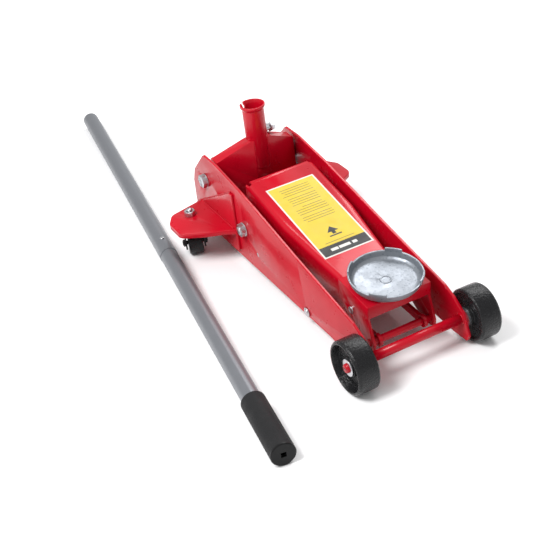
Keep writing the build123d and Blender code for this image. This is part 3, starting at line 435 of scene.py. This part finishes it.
def lathe_mesh(name, foot, axis, profile, steps=40):
    """A solid of revolution: profile is (distance along the axis, radius) pairs in millimetres."""
    side, up = frame_of(axis)
    axis = axis.normalized()
    points, faces = [], []
    for along, radius in profile:
        for k in range(steps):
            turn = math.tau * k / steps
            points.append(foot + (axis * along + (side * math.cos(turn) + up * math.sin(turn)) * radius) * MM)
    for ring in range(len(profile) - 1):
        a, b = ring * steps, (ring + 1) * steps
        faces += [(a + k, a + (k + 1) % steps, b + (k + 1) % steps, b + k) for k in range(steps)]
    faces += [tuple(range(steps - 1, -1, -1)), tuple(range(len(points) - steps, len(points)))]
    mesh = bpy.data.meshes.new(name)
    mesh.from_pydata([tuple(p) for p in points], [], faces)
    mesh.shade_smooth()
    return mesh


# ======== weld beads ========
def weld_bead(name, path, radius, node, closed=False):
    """A rippled bead of weld under the paint, along millimetre points."""
    spacing = random.Random(name)
    radii = [radius * MM * (1 + 0.16 * math.sin(2.1 * k) + spacing.uniform(-0.08, 0.08))
             for k in range(len(path))]
    return place(name, tube_mesh(name, path, radii, 10, closed), node, red_paint)


def straight(first, last, step=1.6):
    """Evenly spaced points from one datum point to another."""
    a, b = at(*first), at(*last)
    count = max(2, int((b - a).length / (step * MM)))
    return [a.lerp(b, k / count) for k in range(count + 1)]


def ring_across(x, y, z, radius, step=1.6):
    """Points round a circle that faces along Y."""
    count = int(math.tau * radius / step)
    return [at(x + radius * math.cos(math.tau * k / count), y, z + radius * math.sin(math.tau * k / count))
            for k in range(count)]


plate_inner = 86.5  # half the clear width between the side plates
plate_outer = 91.5
axle_height = 47
axle_weld_ring = 8.6
for word, side in (("left", 1), ("right", -1)):
    weld_ring = ring_across(0, side * (plate_inner - 0.6), axle_height, axle_weld_ring)
    weld_bead(f"axle_weld_{word}", weld_ring, 1.5, "front_axle", True)
    weld_bead(f"socket_weld_{word}", straight((-500.6, side * 14.6, 158), (-500.6, side * 14.6, 211)), 1.8,
              "handle_yoke")
    weld_bead(f"wing_weld_{word}", straight((-460, side * 97, 75), (-585, side * 97, 75)), 1.6,
              f"caster_bracket_{word}")
    weld_bead(f"web_weld_{word}", straight((-462, side * 92.6, 150.2), (-630, side * 92.6, 59)), 1.3,
              f"caster_bracket_{word}")


# ======== label ========
cover_slope = math.atan2(65.75, 312.0)
cover_down = Vector((math.cos(cover_slope), 0, -math.sin(cover_slope)))
cover_normal = Vector((math.sin(cover_slope), 0, math.cos(cover_slope)))
cover_point = (-430, 168.6)  # X and height of a point on the arm's flat top
label_rear = -401
label_length = 205.5 / math.cos(cover_slope)
label_half = 49.0
film_bottom, film_top, print_top, line_top, sign_top = 0.02, 0.24, 0.28, 0.31, 0.32  # above the arm


def on_label(along, across, height):
    """A point on the label: along it from its rear edge, across it, and above the arm."""
    rear = at(label_rear, across, cover_point[1] - (label_rear - cover_point[0]) * math.tan(cover_slope))
    return rear + (cover_down * along + cover_normal * height) * MM


def film(name, outline, low, high, finish):
    """A layer of the label with this outline, between two heights in millimetres."""
    foot = [on_label(a, b, low) for a, b in outline]
    return place(name, prism_mesh(name, foot, cover_normal * (high - low) * MM), "rating_label", finish)


def rectangle(along, across, length, width):
    """Corners of a rectangle of the label's plane, round a middle point."""
    return [(along + i * length / 2, across + j * width / 2) for i, j in ((-1, -1), (1, -1), (1, 1), (-1, 1))]


def label_art():
    """White border, yellow field with plain lines for small print, a lifting sign, and a black band."""
    middle = label_length / 2
    border = film("label_border", rectangle(middle, 0, label_length, 2 * label_half), film_bottom, film_top,
                  label_white)
    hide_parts("rating_label")
    band = 24.0
    inner_width = 2 * label_half - 6
    film("label_field", rectangle((label_length - band) / 2 + 1, 0, label_length - band - 4, inner_width),
         film_top, print_top, label_yellow)
    film("label_band", rectangle(label_length - 3 - band / 2, 0, band, inner_width), film_top, print_top,
         label_black)
    spacing = random.Random("small print")
    along = 15.0
    for row in range(15):
        width = spacing.choice((60, 54, 62, 40, 57)) + spacing.uniform(-3, 3)
        film(f"label_line_{row}", rectangle(along, (31 - width / 2) * 0.6, 1.3, width), print_top, line_top,
             label_ochre)
        along += 6.2 if row % 4 != 3 else 9.5
    film("label_rule", rectangle(label_length - band - 9, 0, 1.3, 58), print_top, line_top, label_ochre)
    sign = label_length - band - 34
    film("sign_base", rectangle(sign + 12, 0, 3, 24), print_top, sign_top, label_black)
    film("sign_arrow", [(sign - 12, 0), (sign + 2, -11), (sign + 2, 11)], print_top, sign_top, label_black)
    film("sign_stem", rectangle(sign + 5, 0, 7, 7), print_top, sign_top, label_black)
    mark = label_length - 3 - band / 2
    for k, width in enumerate((14.0, 22.0, 9.0)):
        film(f"band_mark_{k}", rectangle(mark, -21 + 20 * k, 6.5, width), print_top, sign_top, label_white)


label_art()


# ======== threads, and slots painted as shade ===
def threaded(name, foot, axis, radius, length, node, pitch=1.5):
    """A threaded end: ridges under the stud's own radius, with a chamfered tip."""
    profile = [(0.0, radius * 0.9)]
    turns = int((length - 1.5) / pitch)
    for k in range(turns):
        profile += [(pitch * (k + 0.25), radius * 0.9), (pitch * (k + 0.7), radius)]
    profile += [(length - 1.2, radius * 0.92), (length, radius * 0.78)]
    return place(name, lathe_mesh(name, foot, axis, profile, 28), node, finish_of_slot[slot_of[node]])


def stud_details():
    """Threaded ends of the arm's shaft and of the caster studs, in place of the plain ones."""
    along = Vector((0, 1, 0))
    pivot_x, pivot_z = -425, 88
    middle = lathe_mesh("shaft_body", at(pivot_x, -plate_outer, pivot_z), along,
                        [(0, 8), (5, 8), (5, 14), (178, 14), (178, 8), (183, 8)])
    shaft = place("shaft_body", middle, "arm_pivot_shaft", bright_zinc)
    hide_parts("arm_pivot_shaft")
    for word, side in (("left", 1), ("right", -1)):
        threaded(f"shaft_thread_{word}", at(pivot_x, side * plate_outer, pivot_z), along * side, 8.0, 12.0,
                 "arm_pivot_shaft")
    low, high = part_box("caster_studs")
    for word, side in (("left", 1), ("right", -1)):
        foot = Vector((at(-562, 0, 0).x, at(0, side * 140, 0).y, low[2]))
        tall = (high[2] - low[2]) / MM
        profile = [(0, 9), (2.7, 9), (2.7, 6), (tall - 16, 6)]
        body = lathe_mesh(f"stud_body_{word}", foot, Vector((0, 0, 1)), profile)
        stud = place(f"stud_body_{word}", body, "caster_studs", bright_zinc)
        if side == 1:
            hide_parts("caster_studs")
        threaded(f"stud_thread_{word}", foot + Vector((0, 0, (tall - 16) * MM)), Vector((0, 0, 1)), 6.0, 16.0,
                 "caster_studs")


stud_details()


def axle_ends():
    """The front axle with chamfered ends; on each end face a thin black plate is painted shade standing for a
    screwdriver slot.
    """
    low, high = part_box("front_axle")
    span = (high[1] - low[1]) / MM
    profile = [(0, 6.5), (1.5, 8), (span / 2 - plate_inner, 8), (span / 2 - plate_inner, 8.5),
               (span / 2 + plate_inner, 8.5), (span / 2 + plate_inner, 8), (span - 1.5, 8), (span, 6.5)]
    foot = Vector((axle_middle.x, low[1], axle_middle.z))
    bar = lathe_mesh("axle_bar", foot, Vector((0, 1, 0)), profile)
    axle = place("axle_bar", bar, "front_axle", red_paint)
    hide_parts("front_axle")
    for word, face in (("left", high[1]), ("right", low[1])):
        inward = -0.3 if word == "left" else 0.3
        corner = Vector((axle_middle.x, face, axle_middle.z))
        # The slot is not cut: a thin black plate, flush with the end face, is painted shade where the slot's
        # hollow would be.
        outline = [corner + Vector((i * 5.6, 0, j * 0.9)) * MM
                   for i, j in ((-1, -1), (1, -1), (1, 1), (-1, 1))]
        mesh = prism_mesh(f"axle_painted_slot_shade_{word}", [p - Vector((0, inward / 3, 0)) * MM for p in outline],
                          Vector((0, inward, 0)) * MM)
        place(f"axle_painted_slot_shade_{word}", mesh, "front_axle", label_black)


axle_ends()


# ======== stage ========
def make_floor():
    """A plain pale floor."""
    mesh = bpy.data.meshes.new("floor")
    reach = 12.0
    mesh.from_pydata([(-reach, -reach, 0), (reach, -reach, 0), (reach, reach, 0), (-reach, reach, 0)], [],
                     [(0, 1, 2, 3)])
    floor = bpy.data.objects.new("floor", mesh)
    bpy.context.scene.collection.objects.link(floor)
    made, _tree, _shader = start_material("floor_white", Base_Color=rgb(0.93, 0.93, 0.935), Roughness=0.75,
                                          Specular_IOR_Level=0.2)
    mesh.materials.append(made)


def soft_light(name, place_mm, aim_mm, width, height, watts):
    """A rectangular soft box aimed at a point."""
    lamp = bpy.data.lights.new(name, "AREA")
    lamp.shape = "RECTANGLE"
    lamp.size = width
    lamp.size_y = height
    lamp.energy = watts
    holder = bpy.data.objects.new(name, lamp)
    holder.location = at(*place_mm)
    holder.rotation_mode = "QUATERNION"
    holder.rotation_quaternion = (at(*aim_mm) - holder.location).to_track_quat("-Z", "Y")
    bpy.context.scene.collection.objects.link(holder)


def make_camera():
    """A long-lens camera above the jack's front right, leaning a little."""
    azimuth, elevation, roll = math.radians(65.66), math.radians(32.99), math.radians(-7.91)
    distance = 2.099
    aim = at(-247, -114.3, 78)
    back = Vector((math.sin(azimuth) * math.cos(elevation), -math.cos(azimuth) * math.cos(elevation),
                   math.sin(elevation)))
    level_right = Vector((math.cos(azimuth), math.sin(azimuth), 0))
    level_up = back.cross(level_right)
    right = level_right * math.cos(roll) + level_up * math.sin(roll)
    up = back.cross(right)
    data = bpy.data.cameras.new("camera")
    data.sensor_width = 36.0
    data.lens = 78.26
    camera = bpy.data.objects.new("camera", data)
    camera.rotation_mode = "QUATERNION"
    camera.rotation_quaternion = Matrix((right, up, back)).transposed().to_quaternion()
    camera.location = aim + back * distance
    bpy.context.scene.collection.objects.link(camera)
    bpy.context.scene.camera = camera


def make_sky():
    """Even white surroundings."""
    world = bpy.data.worlds.new("surroundings")
    world.use_nodes = True
    world.node_tree.nodes["Background"].inputs["Color"].default_value = rgb(1.0, 1.0, 1.0)
    world.node_tree.nodes["Background"].inputs["Strength"].default_value = 0.62
    bpy.context.scene.world = world
    bpy.context.scene.view_settings.view_transform = "Standard"


make_floor()
make_sky()
soft_light("key", (-100, -1700, 2500), (-300, 0, 100), 1.2, 1.2, 80)
soft_light("back", (-1500, 1500, 2300), (-300, 0, 100), 1.6, 1.2, 50)
make_camera()
